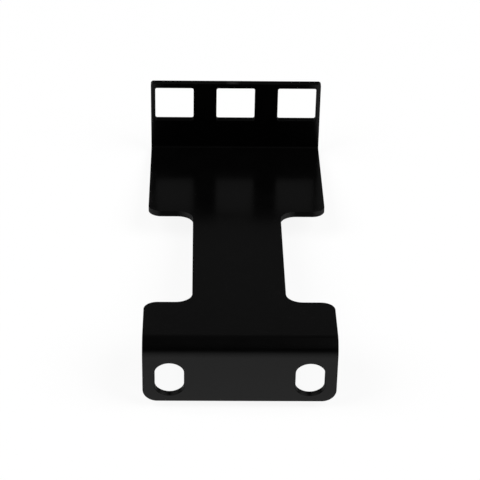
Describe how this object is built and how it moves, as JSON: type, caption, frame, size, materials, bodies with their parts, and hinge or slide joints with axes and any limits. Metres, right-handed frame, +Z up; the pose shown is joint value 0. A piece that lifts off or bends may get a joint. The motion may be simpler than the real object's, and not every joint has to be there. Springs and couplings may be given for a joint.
{
  "type": "rack depth extender",
  "caption": "Z-folded steel bracket: a slotted flange bolts to a rack post, a waisted sloping web carries a square-holed flange for cage nuts, so equipment mounts further out.",
  "frame": {"origin": "midway between the two slots, on the slotted flange's outer face", "axes": "+X across the strip, +Y from the slotted flange to the square-holed flange, +Z up, from the slots towards the fold that carries the web. In a rack the part is turned so that X stands upright."},
  "size_m": [0.044, 0.1016, 0.0215],
  "materials": {
    "black_coated_steel": "satin"
  },
  "bodies": {
    "root": {"depth_extender_bracket": "black_coated_steel"}
  },
  "joints": []
}
